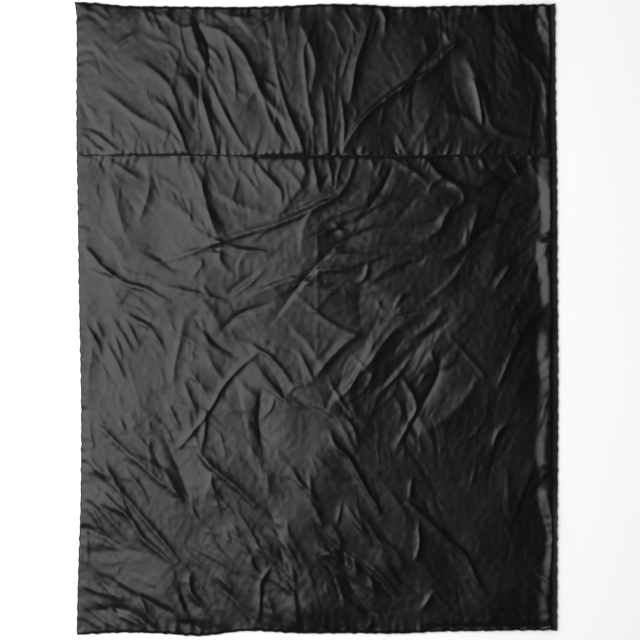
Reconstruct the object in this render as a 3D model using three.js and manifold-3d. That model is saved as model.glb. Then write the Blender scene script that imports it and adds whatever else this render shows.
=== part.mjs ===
// Camp quilt: a light two-skin blanket with polyester fill, lying flat on its underside.
// Each skin is pieced from a short head panel and a long main panel, because the cloth is
// narrower than the quilt is long. The skins are bagged out: sewn face to face round the edge,
// turned right side out through a gap in the foot edge, and closed with a short edge stitch.
// One row of quilting through the cross seam holds the two sheets of fill in place.
// Millimetres, +Z up. The origin is on the underside at the centre of the outline, +Y is the
// head end and +X is the width.

import * as THREE from "three";
import { mergeVertices } from "three/addons/utils/BufferGeometryUtils.js";
import Module from "manifold-3d";

const wasm = await Module();
wasm.setup();

// ---- Driving dimensions ----
const quiltLength = 1950; // along Y, seam to seam
const quiltWidth = 1490; // along X, seam to seam
const headPanelLength = 468; // head edge to the cross seam
const loftHeight = 16.5; // top of the quilt away from its seams
const edgeRoll = 60; // how far in from the edge the loft is reached
const seamRoll = 42; // the same beside the cross seam
const skinThickness = 0.8; // stand-in for a sheet of coated taffeta
const seamAllowance = 12; // cloth turned in at every seam
const seamThread = 0.6; // thread of the hidden seams, across
const stitchThread = 0.9; // thread of the quilting and of the closing stitch, across
const undersideDitch = 1.9; // how far a through stitch lifts the underside
const clearance = 0.3; // gap between pieces that touch
const notchClearance = 0.25; // round the edge thread where it passes through the cross seam
const closingInset = 15; // closing stitch to the foot edge
const closingLength = 320; // turning gap that the closing stitch shuts
const closingToSide = 55; // its end to the right side
const closingRamp = 25; // length over which the ditch under it fades out

// ---- Sizes that follow ----
const halfWidth = quiltWidth / 2;
const halfLength = quiltLength / 2;
const seamY = halfLength - headPanelLength;
const closingY = -halfLength + closingInset;
const closingEnd = halfWidth - closingToSide;
const closingStart = closingEnd - closingLength;
const threadRoom = seamThread + 2 * clearance;
const skinStack = 2 * skinThickness + threadRoom; // skin, thread and turned-in cloth
const partingHeight = undersideDitch + skinStack + clearance / 2;
const edgeTop = partingHeight + clearance / 2 + skinStack;
const fillInset = skinThickness + threadRoom; // cloth edge to the edge of the fill
const seamDitchWidth = seamRoll / 3;
const panels = {
  head: { from: seamY + clearance / 2, to: halfLength },
  main: { from: -halfLength, to: seamY - clearance / 2 },
};

const shellCloth = { color: 0x26272a, roughness: 0.42, metalness: 0 };
const liningCloth = { color: 0x1f2022, roughness: 0.5, metalness: 0 };
const fillWadding = { color: 0xd8d8d4, roughness: 0.95, metalness: 0 };
const blackThread = { color: 0x17181a, roughness: 0.6, metalness: 0 };

// ---- Height of the two faces ----
const rise = (distance, roll) => Math.sin((Math.PI / 2) * Math.min(1, Math.max(0, distance / roll)));
const hump = (distance, width) => Math.max(0, 1 - Math.abs(distance) / width);

function topHeight(x, y) {
  const side = rise(halfWidth - Math.abs(x), edgeRoll);
  const end = rise(halfLength - Math.abs(y), edgeRoll);
  const seam = rise(Math.abs(y - seamY), seamRoll);
  return edgeTop + (loftHeight - edgeTop) * side * end * seam;
}

function undersideHeight(x, y) {
  const along = Math.min(x - closingStart, closingEnd - x);
  const closing = Math.min(1, Math.max(0, 1 + along / closingRamp)) * hump(y - closingY, closingInset);
  return undersideDitch * Math.max(hump(y - seamY, seamDitchWidth), closing);
}

// ---- Stations that the faces are worked out at ----
const steps = (count, roll) => Array.from({ length: count + 1 }, (_, k) => (roll * k) / count);

function widthStations(inset) {
  const closing = [closingStart - closingRamp, closingStart, closingEnd, closingEnd + closingRamp];
  const roll = steps(4, edgeRoll).flatMap((d) => [halfWidth - d, d - halfWidth]);
  const middle = [-quiltWidth / 6, quiltWidth / 6];
  return stationsOf(closing, [...roll, ...middle], inset - halfWidth, halfWidth - inset);
}

function lengthStations(panel, inset) {
  const closing = [closingY, closingY + closingInset];
  const seam = steps(3, seamRoll).flatMap((d) => [seamY - d, seamY + d]);
  const edge = steps(4, edgeRoll).flatMap((d) => [halfLength - d, d - halfLength]);
  const middle = (panel.from + panel.to) / 2;
  return stationsOf([...closing, ...seam], [...edge, middle], panel.from + inset, panel.to - inset);
}

// The firm stations and the loose ones between two ends, none within a millimetre of another.
function stationsOf(firm, loose, low, high) {
  const free = loose.filter((s) => firm.every((f) => Math.abs(s - f) > 1));
  const inner = [...firm, ...free].filter((s) => s > low + 1 && s < high - 1);
  inner.sort((a, b) => a - b);
  return [low, ...inner.filter((s, i) => i === 0 || s - inner[i - 1] > 1), high];
}

// ---- Solids ----
function solidOf(geometry) {
  geometry.deleteAttribute("normal");
  geometry.deleteAttribute("uv");
  const merged = mergeVertices(geometry, 1e-4);
  const vertProperties = new Float32Array(merged.attributes.position.array);
  const triVerts = new Uint32Array(merged.index.array);
  return new wasm.Manifold(new wasm.Mesh({ numProp: 3, vertProperties, triVerts }));
}

function geometryOf(solid) {
  const mesh = solid.getMesh();
  const geometry = new THREE.BufferGeometry();
  geometry.setAttribute("position", new THREE.BufferAttribute(new Float32Array(mesh.vertProperties), 3));
  geometry.setIndex(new THREE.BufferAttribute(new Uint32Array(mesh.triVerts), 1));
  return geometry;
}

// A block over a grid of stations, between a lower and an upper height.
function block(xs, ys, lower, upper) {
  const [across, along] = [xs.length - 1, ys.length - 1];
  const geometry = new THREE.BoxGeometry(across, along, 1, across, along, 1);
  const place = geometry.attributes.position;
  for (let i = 0; i < place.count; i++) {
    const x = xs[Math.round(place.getX(i) + across / 2)];
    const y = ys[Math.round(place.getY(i) + along / 2)];
    place.setXYZ(i, x, y, (place.getZ(i) > 0 ? upper : lower)(x, y));
  }
  return solidOf(geometry);
}

// A block over one panel, its sides moved in by inset.
function panelBlock(panel, inset, lower, upper) {
  return block(widthStations(inset), lengthStations(panel, inset), lower, upper);
}

// A plain box over one panel, its sides moved in by inset.
function panelBox(panel, inset, low, high) {
  const width = quiltWidth - 2 * inset;
  const length = panel.to - panel.from - 2 * inset;
  const geometry = new THREE.BoxGeometry(width, length, high - low);
  geometry.translate(0, (panel.from + panel.to) / 2, (low + high) / 2);
  return solidOf(geometry);
}

// A rectangular ring of square section round the quilt, its outside moved in by inset.
function ring(inset, section, low) {
  const outline = (d) => [
    new THREE.Vector2(-halfWidth + d, -halfLength + d),
    new THREE.Vector2(halfWidth - d, -halfLength + d),
    new THREE.Vector2(halfWidth - d, halfLength - d),
    new THREE.Vector2(-halfWidth + d, halfLength - d),
  ];
  const shape = new THREE.Shape(outline(inset));
  shape.holes.push(new THREE.Path(outline(inset + section)));
  const geometry = new THREE.ExtrudeGeometry(shape, { depth: section, bevelEnabled: false });
  geometry.translate(0, 0, low);
  return geometry;
}

// A straight thread along X.
function threadGeometry(diameter, fromX, toX, y, z) {
  const geometry = new THREE.CylinderGeometry(diameter / 2, diameter / 2, toX - fromX, 8);
  geometry.rotateZ(Math.PI / 2);
  geometry.translate((fromX + toX) / 2, y, z);
  return geometry;
}

// ---- Pieces ----
const seamTop = partingHeight + clearance / 2; // underside of the upper skin's turned-in cloth
const seamBottom = partingHeight - clearance / 2; // top of the lower skin's turned-in cloth
const upperThreadLow = seamTop + skinThickness + clearance;
const lowerThreadLow = seamBottom - skinThickness - clearance - seamThread;
const edgeThreadInset = skinThickness + clearance;

// Notches for the edge threads in the cloth turned in at the cross seam.
const notchInset = edgeThreadInset - notchClearance;
const notchSize = seamThread + 2 * notchClearance;
const upperNotch = solidOf(ring(notchInset, notchSize, upperThreadLow - notchClearance));
const lowerNotch = solidOf(ring(notchInset, notchSize, lowerThreadLow - notchClearance));

function upperSkin(panel) {
  const outside = panelBlock(panel, 0, () => seamTop, topHeight);
  const inside = panelBlock(
    panel,
    skinThickness,
    () => seamTop + skinThickness,
    (x, y) => topHeight(x, y) - skinThickness,
  );
  const mouth = panelBox(panel, skinThickness + seamAllowance, seamTop - 1, seamTop + skinStack / 2);
  return outside.subtract(inside).subtract(mouth).subtract(upperNotch);
}

function lowerSkin(panel) {
  const outside = panelBlock(panel, 0, undersideHeight, () => seamBottom);
  const inside = panelBlock(
    panel,
    skinThickness,
    (x, y) => undersideHeight(x, y) + skinThickness,
    () => seamBottom - skinThickness,
  );
  const mouth = panelBox(panel, skinThickness + seamAllowance, seamBottom - skinStack / 2, seamBottom + 1);
  return outside.subtract(inside).subtract(mouth).subtract(lowerNotch);
}

// The fill lies between the skins and wraps the turned-in cloth round its edge.
function fillSheet(panel) {
  const wadding = panelBlock(
    panel,
    fillInset,
    (x, y) => undersideHeight(x, y) + skinThickness + clearance,
    (x, y) => topHeight(x, y) - skinThickness - clearance,
  );
  const reach = skinThickness + clearance;
  const low = seamBottom - reach;
  const high = seamTop + reach;
  const core = panelBox(panel, skinThickness + seamAllowance + clearance, low, high);
  return wadding.subtract(panelBox(panel, 0, low, high).subtract(core));
}

const quilt = new THREE.Group();

function add(name, geometry, look) {
  const mesh = new THREE.Mesh(geometry, new THREE.MeshStandardMaterial(look));
  mesh.name = name;
  quilt.add(mesh);
}

for (const [name, panel] of Object.entries(panels)) {
  add(`top_${name}_panel`, geometryOf(upperSkin(panel)), shellCloth);
  add(`underside_${name}_panel`, geometryOf(lowerSkin(panel)), liningCloth);
  add(`fill_${name}`, geometryOf(fillSheet(panel)), fillWadding);
}

// Seam that joins the two panels of each skin: one thread in each turned-in edge.
const joinEnd = halfWidth - fillInset;
const joinOffset = clearance / 2 + skinThickness + clearance + seamThread / 2;
const joinSeams = { top: upperThreadLow, underside: lowerThreadLow };
for (const [face, low] of Object.entries(joinSeams)) {
  const height = low + seamThread / 2;
  const needle = threadGeometry(seamThread, -joinEnd, joinEnd, seamY + joinOffset, height);
  const bobbin = threadGeometry(seamThread, -joinEnd, joinEnd, seamY - joinOffset, height);
  add(`${face}_join_needle_thread`, needle, blackThread);
  add(`${face}_join_bobbin_thread`, bobbin, blackThread);
}

// Seam round the edge.
add("edge_seam_needle_thread", ring(edgeThreadInset, seamThread, upperThreadLow), blackThread);
add("edge_seam_bobbin_thread", ring(edgeThreadInset, seamThread, lowerThreadLow), blackThread);

// Quilting along the cross seam and the stitch that closes the turning gap, both right through.
const overThread = stitchThread / 2 + clearance;
const throughStitches = {
  quilting: { from: -halfWidth + clearance, to: halfWidth - clearance, y: seamY, top: edgeTop },
  closing: { from: closingStart, to: closingEnd, y: closingY, top: topHeight(0, closingY + stitchThread) },
};
for (const [name, row] of Object.entries(throughStitches)) {
  const needle = threadGeometry(stitchThread, row.from, row.to, row.y, row.top + overThread);
  const bobbin = threadGeometry(stitchThread, row.from, row.to, row.y, undersideDitch - overThread);
  add(`${name}_needle_thread`, needle, blackThread);
  add(`${name}_bobbin_thread`, bobbin, blackThread);
}

export default quilt;
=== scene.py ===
import math
import time

import bpy
import numpy as np
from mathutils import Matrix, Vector


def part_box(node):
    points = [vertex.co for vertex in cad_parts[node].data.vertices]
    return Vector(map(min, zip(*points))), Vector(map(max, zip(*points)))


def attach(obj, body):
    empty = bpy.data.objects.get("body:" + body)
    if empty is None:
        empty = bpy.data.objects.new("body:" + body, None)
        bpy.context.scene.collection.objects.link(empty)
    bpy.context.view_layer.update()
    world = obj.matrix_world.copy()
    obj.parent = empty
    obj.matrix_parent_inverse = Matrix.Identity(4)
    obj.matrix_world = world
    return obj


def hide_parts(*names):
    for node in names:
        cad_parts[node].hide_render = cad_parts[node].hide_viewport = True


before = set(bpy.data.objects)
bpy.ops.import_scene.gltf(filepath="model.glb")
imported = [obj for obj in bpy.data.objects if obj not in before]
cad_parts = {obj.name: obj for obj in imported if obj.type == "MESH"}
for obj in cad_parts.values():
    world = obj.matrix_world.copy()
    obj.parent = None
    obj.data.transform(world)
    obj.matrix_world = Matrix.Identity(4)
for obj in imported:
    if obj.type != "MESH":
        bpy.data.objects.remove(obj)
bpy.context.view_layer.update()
startTime = time.time()


def say(words):
    print(f"{time.time() - startTime:6.1f} s  {words}")


# Places from the frame, and the quilt's own sizes in metres
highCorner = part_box("top_main_panel")[1]
headLow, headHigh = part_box("top_head_panel")
halfWidth = float(highCorner.x)
halfLength = float(headHigh.y)
seamY = float(highCorner.y + headLow.y) / 2
closingLow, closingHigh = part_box("closing_needle_thread")
closingY = float(closingLow.y + closingHigh.y) / 2

quilt = {
    "edgeHeight": 0.005,  # the seam round the edge, above the ground
    "loft": 0.0118,  # the middle of a panel
    "rimLoft": 0.0168,  # the fat rim, where the turned-in seams and the fill's edge lie
    "rimRound": 0.022,  # the outline to the top of the rim
    "edgeRound": 0.006,  # the outline to the loft, on the sides without a fat rim
    "rimWidth": 0.060,  # the outline to the foot of the rim, on its inner side
    "seamHeight": 0.0106,  # the cloth at the quilted cross seam
    "seamRound": 0.014,  # the cross seam to full loft
    "seamLip": 0.0020,  # the short steep part beside the stitches
    "capFrom": 0.0205,  # above this height a fold's crest is flattened, up to capRoom more
    "capRoom": 0.0040,
    "columnStep": 0.0040, "rowStep": 0.0060, "seamRows": 0.010,  # the upper skin's mesh
    "allowance": 0.011,  # cloth turned in at the edge
    "fold": 0.0016,  # how far inside the edge the turned-in cloth starts
    "skinGap": 0.0004,  # each skin's turned-in cloth to the edge seam
    "tuck": (0.0016, 0.0008), "lift": 0.0007,  # the same at the cross seam, upper and lower skin
}

# How far the sewn outline wanders from straight, in mm: distance along the side, then outwards
outlineWander = {
    "left": [(-975, 0), (-800, -4), (-550, -12), (-250, -13), (50, -7), (350, -3), (600, 1), (850, 0),
             (955, 2), (975, 8)],
    "right": [(-975, 3), (-600, 4), (-200, 6), (100, 4), (450, 2), (700, -2), (975, -3)],
    "foot": [(-745, 7), (-600, 1), (-480, 4), (-360, 11), (-220, -4), (-50, 3), (120, 3), (260, 4),
             (380, -2), (520, -4), (660, -6), (745, -6)],
    "head": [(-745, 9), (-690, 7), (-600, -2), (-480, -4), (-240, -6), (-100, -3), (20, 3), (140, 2),
             (260, -5), (400, -3), (520, -1), (660, 2), (745, 3)],
}


# Small tools, all on whole arrays

# A step from 0 to 1 that starts and ends level: 3t^2 - 2t^3.
def smooth(t):
    t = np.clip(t, 0, 1)
    return t * t * (3 - 2 * t)


# Catmull-Rom curve through the values along one axis, read at the places (in steps).
def catmull(values, places, axis):
    count = values.shape[axis]
    whole = np.clip(np.floor(places).astype(int), 0, count - 2)
    part = (places - whole).astype(values.dtype)
    part = part.reshape([-1 if k == axis else 1 for k in range(values.ndim)])
    a, b, c, d = (np.take(values, np.clip(whole + k, 0, count - 1), axis) for k in (-1, 0, 1, 2))
    return b + 0.5 * part * (c - a + part * (2 * a - 5 * b + 4 * c - d + part * (3 * (b - c) + d - a)))


# Smooth line through a few chosen points, with perSpan steps between two of them.
def curveThrough(points, perSpan):
    points = np.array(points, float)
    return catmull(points, np.linspace(0, len(points) - 1, perSpan * (len(points) - 1) + 1), 0)


# Outward shift of one side of the outline: a smooth curve through its listed points.
def wander(side, along):
    at, out = np.array(outlineWander[side]).T / 1000
    places = np.interp(along, at, np.arange(len(at)))
    return catmull(out, places.ravel(), 0).reshape(np.shape(along))


# Smooth random height about 1 either way: a cubic B-spline over a random lattice whose
# cells measure across by along metres, turned by an angle.
def softNoise(x, y, across, along, seed, turn=0.0):
    u = (x * math.cos(turn) + y * math.sin(turn)) / across
    v = (y * math.cos(turn) - x * math.sin(turn)) / along
    u, v = u - u.min() + 1, v - v.min() + 1
    lattice = np.random.default_rng(seed).standard_normal((int(v.max()) + 4, int(u.max()) + 4))
    column, row = np.floor(u).astype(int), np.floor(v).astype(int)
    weights = []
    for t in (u - column, v - row):
        weights.append(((1 - t) ** 3 / 6, (3 * t ** 3 - 6 * t ** 2 + 4) / 6,
                        (-3 * t ** 3 + 3 * t ** 2 + 3 * t + 1) / 6, t ** 3 / 6))
    total = 0
    for j in range(4):
        for i in range(4):
            total = total + weights[1][j] * weights[0][i] * lattice[row + j - 1, column + i - 1]
    return total * 1.9


# Straight-line reading of a regular grid over the whole quilt at points x, y.
def readGrid(grid, x, y):
    rows, columns = grid.shape[:2]
    u = np.clip((x + halfWidth) / (2 * halfWidth) * (columns - 1), 0, columns - 1.001)
    v = np.clip((y + halfLength) / (2 * halfLength) * (rows - 1), 0, rows - 1.001)
    i, j = u.astype(int), v.astype(int)
    fu, fv = u - i, v - j
    if grid.ndim == 3:
        fu, fv = fu[..., None], fv[..., None]
    low = grid[j, i] * (1 - fu) + grid[j, i + 1] * fu
    high = grid[j + 1, i] * (1 - fu) + grid[j + 1, i + 1] * fu
    return low * (1 - fv) + high * fv


# The folds

# One fold a line, in mm from the quilt's middle: the points x,y that its crest runs through, then
# half width, height (below zero is a groove), and lean, if one side is steep.
headFolds = """
-660,705 -620,675 -565,630 -500,595 -465,575 | 14 4.5 .3
-500,680 -460,645 -435,600 -415,555 -400,512 | 10 4.5 -.3
-725,570 -655,510 | 8 3.5 -.4
-695,580 -650,545 -605,508 | 10 4.5 -.3
-655,590 -630,562 | 6 2.5
-625,840 -595,865 -555,888 | 8 3.5 .3
-615,912 -585,955 | 5 1.8
-600,902 -565,950 | 5 1.8
-585,895 -550,940 | 5 1.8
-540,960 -512,905 | 7 3 -.3
-515,965 -488,905 -468,880 | 6 2.5 -.2
-480,960 -452,932 | 8 3.5 -.3
-415,900 -350,922 | 8 3 .2
-350,910 -295,895 -255,860 -225,820 -195,760 -165,680 -140,610 -110,560 | 13 5 -.2
-350,855 -315,825 -290,785 | 8 3.5 -.3
-290,870 -270,810 -255,750 -250,680 | 8 3.5 -.4
-400,805 -362,755 | 6 3 -.2
-405,750 -378,698 | 6 2.2
-360,740 -355,680 -340,620 -320,560 -308,515 | 18 6.5 .4
-335,745 -300,670 -270,610 -235,550 -208,510 | 9 4.5 -.3
-165,740 -120,712 | 7 3
-160,805 -200,750 | 5 1.8
-145,875 -130,800 -115,730 -90,650 -68,590 -35,512 | 9 4 -.3
-10,920 -40,840 -35,750 -25,660 -5,600 | 10 4.5 .3
-80,975 -140,945 -195,908 | 9 3.5
-310,965 -270,942 -200,938 | 7 2.5
-720,665 -685,635 | 8 2.5
-645,640 -635,570 | 12 3
-445,570 -412,508 | 5 2.5
-530,735 -525,690 -505,655 | 5 1.8
-460,580 -478,530 -462,508 | 5 2
-430,830 -440,770 -452,700 | 13 3 .2
-560,560 -575,515 | 16 2.5
35,930 65,885 | 5 2.5 .3
62,875 88,820 | 5 2.5 .3
85,960 108,920 128,885 | 6 3 .3
165,930 145,860 125,800 115,740 105,680 | 16 8
105,840 90,790 78,750 | 8 3.5 .2
185,975 212,940 210,895 | 10 5.5 .2
20,720 30,640 35,560 40,512 | 8 4.5 -.3
75,690 85,620 85,570 80,515 | 8 4.5 .2
445,865 400,820 345,765 265,720 190,665 130,605 85,528 | 15 7.5 .4
465,805 505,720 538,608 | 20 5 .3
488,742 500,702 509,656 516,610 | 7 10 -.3
345,782 385,818 434,857 | 10 6 .4
538,608 575,575 660,555 | 12 3
605,855 665,800 705,740 715,660 712,600 | 22 4 .3
355,970 385,938 | 6 3 .3
570,908 598,872 | 5 2.5 .3
700,920 700,880 | 8 2.5
148,535 128,512 | 6 3 .3
250,570 272,525 | 7 3 .2
370,910 420,938 480,948 | 12 -2
385,905 415,858 | 13 3 .2
330,880 345,830 | 16 2.5 .2
540,548 512,520 508,508 | 7 4 .3
220,700 205,640 200,600 | 6 2
400,640 470,620 510,575 | 22 3
"""
mainFolds = """
-395,490 -365,430 -345,370 -330,310 -310,255 | 15 5.5 .4
-410,495 -385,440 -375,395 | 8 3.5 -.2
-362,372 -345,310 -332,265 | 7 3
-395,370 -390,300 | 12 3
-640,420 -625,360 -610,310 -600,270 | 28 5.5 .3
-530,470 -520,420 -530,370 -550,310 | 20 5.5 .3
-640,488 -600,465 -550,432 | 6 3 -.2
-500,442 -460,420 -420,385 | 5 1.8
-745,235 -705,205 -675,170 -635,135 -585,108 -530,92 -490,68 -455,52 | 14 6.5 -.3
-605,155 -570,138 -520,128 -485,115 | 6 2.8 -.3
-500,172 -400,200 -310,235 -200,270 -100,300 0,345 55,375 95,420 120,490 | 15 5.5 .35
-130,318 -60,338 0,363 60,392 100,445 | 5 -3
-390,190 -357,176 -370,150 -387,130 | 7 3
-298,228 -300,185 -282,155 | 13 4
-285,158 -250,133 | 5 2
-190,492 -165,455 -135,425 -112,398 -108,360 | 11 5 -.2
-238,462 -215,435 -178,388 | 6 2.8 -.2
-203,475 -178,408 | 6 2.2
-102,472 -62,430 -40,398 | 6 2.5
-52,492 -30,450 | 10 3.5
-95,420 -85,355 | 5 2.2
-245,430 -262,375 | 10 2.8
-10,480 0,430 8,395 | 13 4
38,492 46,450 50,420 | 7 3.5 -.3
78,492 66,450 60,405 | 6 3 .3
235,468 215,426 190,390 165,366 | 9 -4.5
225,374 180,350 140,322 100,292 | 9 5.5 -.3
205,378 140,352 70,327 0,295 | 7 3.2 -.2
55,295 78,272 95,268 | 9 4
0,203 50,213 95,224 | 7 3 -.3
235,496 275,470 310,450 345,420 | 9 4.5 .3
270,498 284,476 | 6 3.5 .2
345,392 362,420 392,436 | 7 3.5
425,425 452,395 458,368 430,340 | 10 3.2
345,495 375,455 415,425 455,405 500,398 | 14 5.5 -.2
508,494 524,470 | 6 4.5 .3
600,494 627,448 | 8 5.5 .3
520,490 560,448 620,425 | 18 -2.5
660,490 680,455 702,428 | 6 2.2 .2
168,494 178,468 | 6 3 .2
205,482 188,448 | 6 3 .2
430,360 400,318 385,280 350,258 | 18 5.5
502,335 482,272 462,222 400,188 | 20 5.5 .1
468,275 460,238 | 7 3.5 .2
520,308 570,298 | 5 2.2
500,258 562,290 | 8 -3
300,288 360,298 385,316 | 10 -3
268,156 290,171 320,176 336,192 | 7 -3.8
132,113 152,135 160,168 | 9 4.5
0,195 100,198 260,190 | 8 2.8
0,150 70,152 130,146 | 10 2.8
-80,125 0,108 40,105 | 9 3.2
0,85 100,80 200,86 | 11 2.8
400,178 500,192 585,208 | 12 -3
430,118 512,132 | 10 -3
603,168 578,130 555,98 | 10 4.5 .2
-735,-20 -705,-45 -675,-95 | 11 5.5 -.2
-690,-10 -668,-55 | 10 3.5
-640,0 -605,-50 -575,-100 | 13 5 .1
-600,0 -575,-40 -555,-82 | 12 5 .1
-540,-10 -505,-45 -483,-80 | 7 3.2 -.2
-455,-10 -435,-62 | 6 2.8
-655,-80 -625,-130 -598,-185 | 12 4.5
-630,-50 -605,-122 | 9 3.8
-412,0 -428,-80 -442,-150 -445,-195 | 22 5 .3
-480,102 -400,85 -330,70 -270,45 | 9 3.8 -.2
-355,98 -335,78 | 7 3.5
-140,45 -200,28 -250,5 -297,-37 | 14 -5
-270,85 -235,110 -190,140 | 14 -4
-165,152 -200,115 -252,78 | 6 3
-365,5 -345,-45 -335,-72 | 14 4
-140,95 -108,68 | 13 2.8
-62,72 -20,36 30,-4 80,-34 136,-56 | 6 3.8 .2
-200,-85 -150,-115 -110,-155 -75,-206 | 8 5 -.2
-290,-60 -230,-70 -172,-98 | 6 2.2
-55,-105 -28,-155 -12,-192 | 8 3.5 .2
-20,-200 -62,-208 -85,-228 | 7 3
-185,-110 -235,-150 -285,-205 -320,-265 -360,-325 -425,-400 | 8 5.5 -.3
-345,-290 -346,-340 -356,-402 | 9 5 -.2
-340,-110 -320,-150 -290,-188 | 14 3.5
-402,-168 -362,-205 -332,-252 | 9 3
-412,-198 -395,-240 -372,-285 | 9 3.5
-465,-258 -445,-300 -425,-342 | 10 4.5
-240,-198 -200,-235 -160,-252 | 7 2.8
-172,-198 -122,-235 -72,-266 -38,-272 | 9 3.8
-132,-245 -142,-280 -172,-310 | 6 3
-738,-120 -727,-190 | 16 3
125,-50 85,-80 40,-125 0,-175 | 18 6.5
142,-143 105,-206 | 7 5.5 .3
115,-118 150,-155 186,-190 | 5 2.8 .2
268,72 242,38 | 8 4.5 .2
250,50 300,68 380,72 | 10 -3.5
208,-2 270,8 332,26 | 8 -3.5
188,52 206,22 | 7 3 .2
392,32 362,-10 312,-50 | 18 4.5 .1
412,-8 362,-44 300,-70 | 13 -3.5
300,-108 265,-155 230,-195 200,-227 | 10 5
355,-105 368,-140 | 7 3 .2
338,-172 320,-198 | 8 4 .2
272,-195 302,-245 310,-282 290,-318 276,-348 248,-394 | 11 6.5 .2
385,-115 375,-180 345,-240 310,-300 275,-370 | 20 -5.5
500,-185 460,-248 400,-310 340,-346 | 30 3.5 .1
606,-105 565,-207 | 9 4 .2
410,-52 460,-108 500,-152 524,-178 | 6 2.6 .2
-685,-330 -640,-370 -585,-420 -530,-465 -495,-500 -450,-525 -415,-565 | 12 6 -.2
-665,-540 -625,-580 -575,-625 -545,-675 -500,-715 -450,-757 | 12 6.5 -.2
-610,-530 -570,-580 -520,-640 -465,-705 -430,-752 | 12 6 -.1
-582,-478 -545,-530 -525,-572 | 9 3.5
-615,-305 -598,-348 | 7 2.8
-580,-300 -553,-338 | 7 2.5
-522,-315 -516,-352 | 6 2.5
-522,-372 -516,-412 | 6 2.5
-482,-352 -440,-386 | 6 2.2
-720,-310 -702,-400 | 12 3.2
-728,-580 -697,-605 -670,-652 | 7 3.5 -.2
-722,-660 -715,-750 | 9 3.2
-655,-600 -622,-645 -590,-682 | 6 2.6
-375,-390 -355,-435 -300,-485 -245,-530 -195,-582 | 16 6.5 .4
-195,-575 -140,-625 -105,-640 | 6 3
-142,-660 -110,-690 -80,-730 -55,-772 | 10 5 -.2
-245,-600 -205,-660 -175,-720 -155,-752 | 8 3.8 -.2
-332,-490 -316,-550 -300,-602 | 9 3.5
-155,-478 -150,-545 | 18 3.2 .1
-24,-485 -14,-548 | 12 4 .2
-210,-400 -188,-455 | 9 2.6
40,-198 76,-255 110,-308 | 6 4 .2
85,-303 111,-335 127,-384 | 8 5 .2
44,-355 60,-395 95,-425 125,-475 155,-530 196,-598 | 9 8 -.2
294,-500 288,-556 | 10 4 .2
285,-572 335,-615 375,-655 415,-695 465,-740 506,-824 | 11 6.5 -.3
415,-735 478,-798 524,-848 | 8 3 .2
315,-645 319,-700 305,-752 | 8 5.5 .1
605,-318 562,-355 550,-402 | 11 4 .2
590,-470 598,-600 | 24 2.6
92,-585 126,-635 168,-698 | 12 5.5 .2
76,-578 66,-632 | 6 3
0,-645 40,-690 90,-730 150,-775 200,-825 235,-862 | 10 -5
160,-765 205,-805 246,-852 | 7 4.5 .2
10,-742 58,-720 | 5 2.6
116,-738 126,-802 | 15 3.4 .2
166,-798 182,-862 | 14 3.4 .2
358,-855 330,-897 | 11 5.5 .2
350,-828 382,-870 422,-912 | 7 2.8
680,-785 725,-828 736,-866 | 7 3
172,-938 150,-972 | 9 3.4
-742,-815 -700,-838 -650,-855 -600,-876 | 9 4.5 -.2
-696,-820 -640,-850 -582,-866 | 8 4.5 -.2
-612,-820 -565,-850 -540,-882 -525,-922 -490,-957 | 14 5.5
-726,-880 -690,-912 -650,-940 -600,-968 | 7 4 -.2
-692,-868 -650,-898 -598,-930 | 7 3.4
-735,-912 -700,-936 -660,-960 | 8 4
-606,-920 -560,-942 -515,-972 | 10 5 -.2
-395,-800 -390,-850 -355,-886 | 11 5
-432,-858 -410,-905 | 7 3.2
-366,-900 -332,-926 -298,-954 | 7 4
-445,-888 -432,-942 | 6 2.6
-390,-705 -350,-725 -300,-750 -250,-786 | 8 3.5
-402,-730 -366,-760 -338,-782 | 7 2.8
-305,-800 -268,-838 | 9 4.5
-285,-655 -268,-695 | 8 3.8
-262,-640 -238,-675 | 10 3.8
-145,-775 -172,-820 -175,-880 -180,-940 | 9 5.5 -.2
-155,-860 -130,-930 | 20 4
-22,-568 0,-602 20,-645 | 10 4.5
"""
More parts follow.
